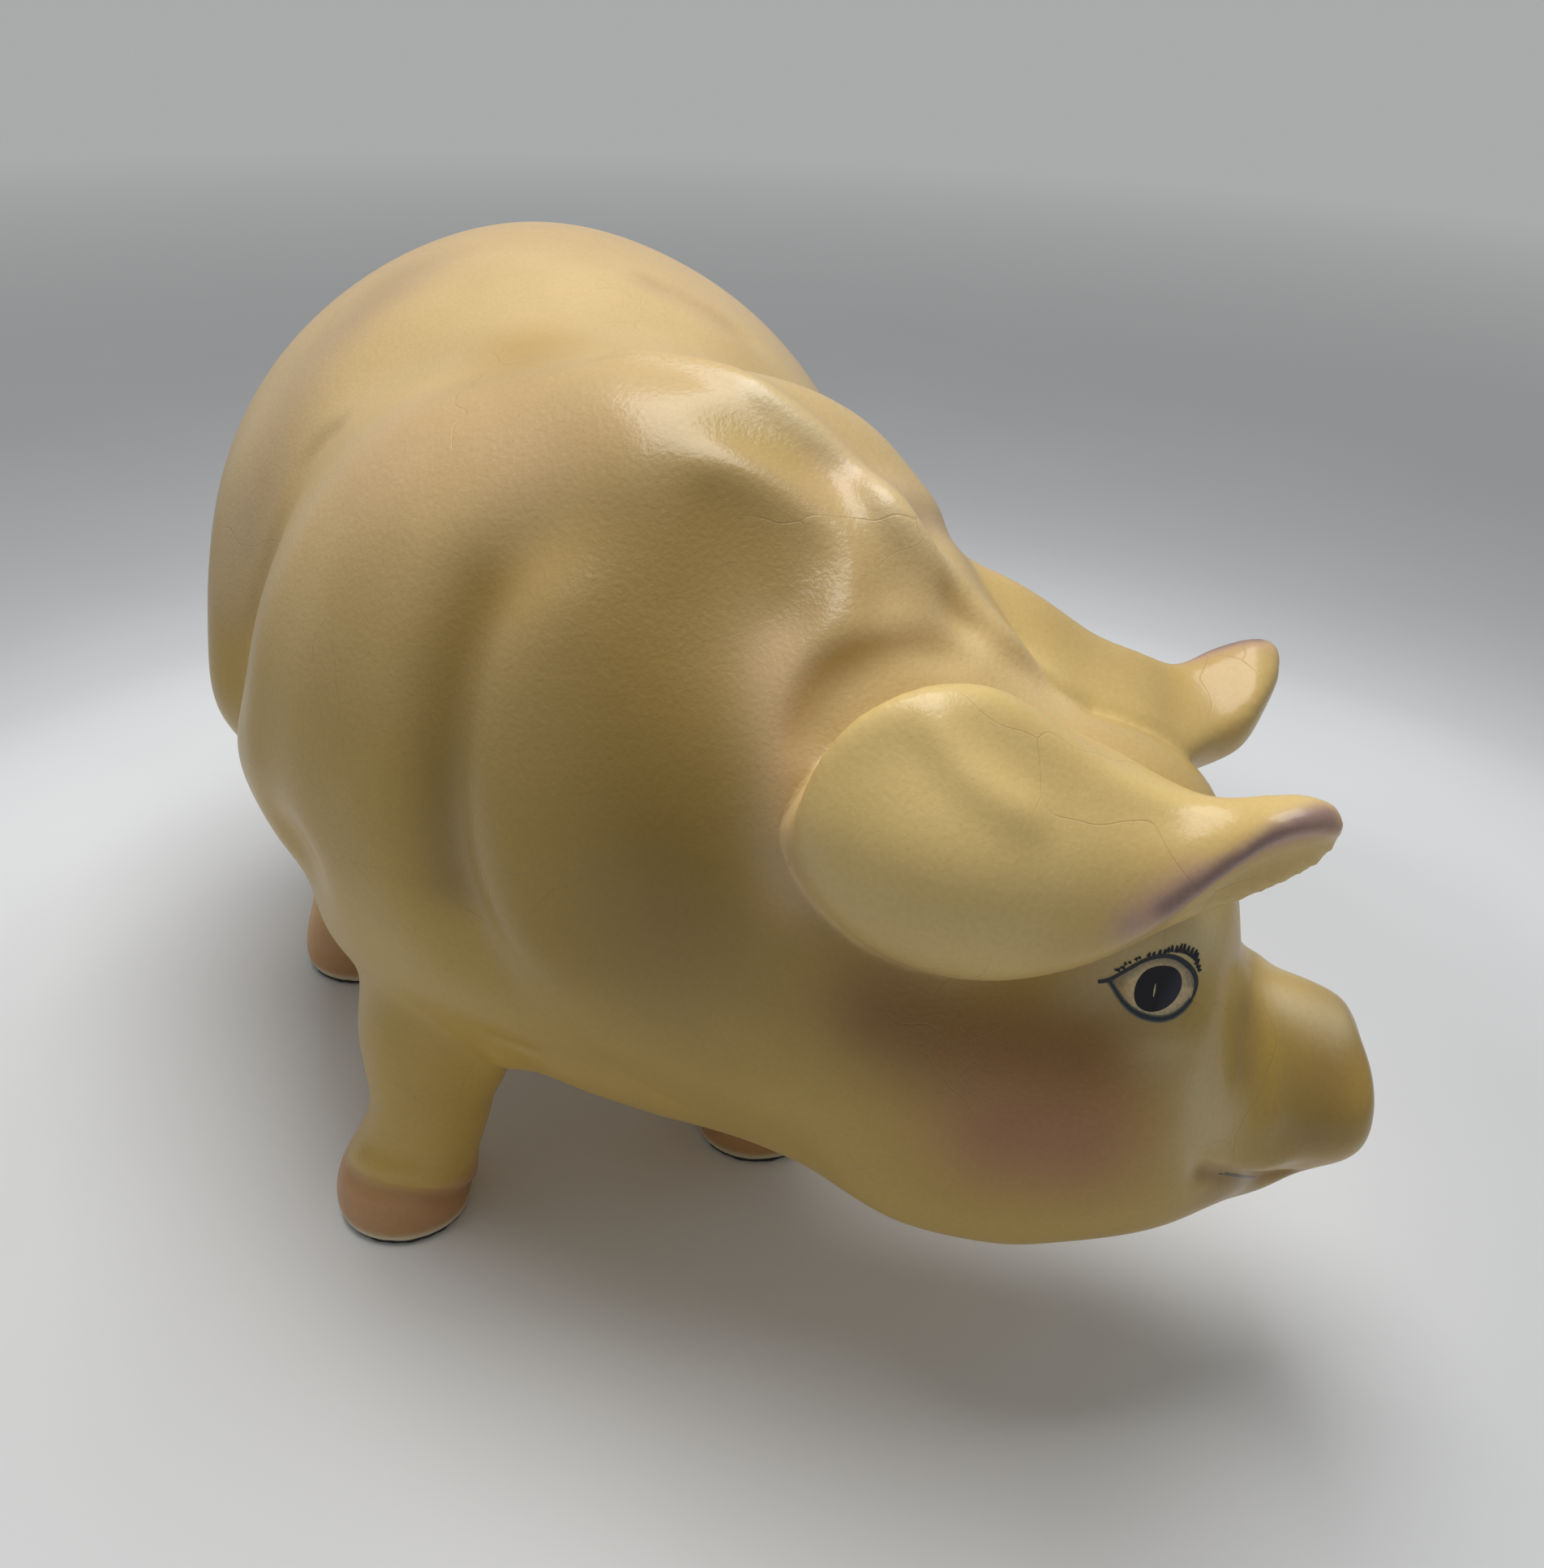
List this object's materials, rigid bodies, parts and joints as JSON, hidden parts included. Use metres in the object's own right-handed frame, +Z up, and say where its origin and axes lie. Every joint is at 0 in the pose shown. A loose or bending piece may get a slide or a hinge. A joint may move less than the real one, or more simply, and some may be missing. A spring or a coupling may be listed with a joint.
{
  "type": "pig figurine",
  "caption": "Hollow glazed ceramic pig, standing with its head lowered and turned to its left, on felt pads; an ornament for a shelf or table.",
  "frame": {"origin": "middle of the whole part's footprint, on the surface that it stands on", "axes": "+X the way the body faces, +Y the pig's left, +Z up"},
  "size_m": [0.3118, 0.2526, 0.2188],
  "materials": {
    "cream_glaze": "gloss",
    "black_felt": "matt"
  },
  "bodies": {
    "root": {"torso_shell": "cream_glaze", "head_shell": "cream_glaze", "right_ear": "cream_glaze", "left_ear": "cream_glaze", "tail": "cream_glaze", "front_right_leg": "cream_glaze", "front_right_felt_pad": "black_felt", "front_left_leg": "cream_glaze", "front_left_felt_pad": "black_felt", "hind_right_leg": "cream_glaze", "hind_right_felt_pad": "black_felt", "hind_left_leg": "cream_glaze", "hind_left_felt_pad": "black_felt"}
  },
  "joints": []
}
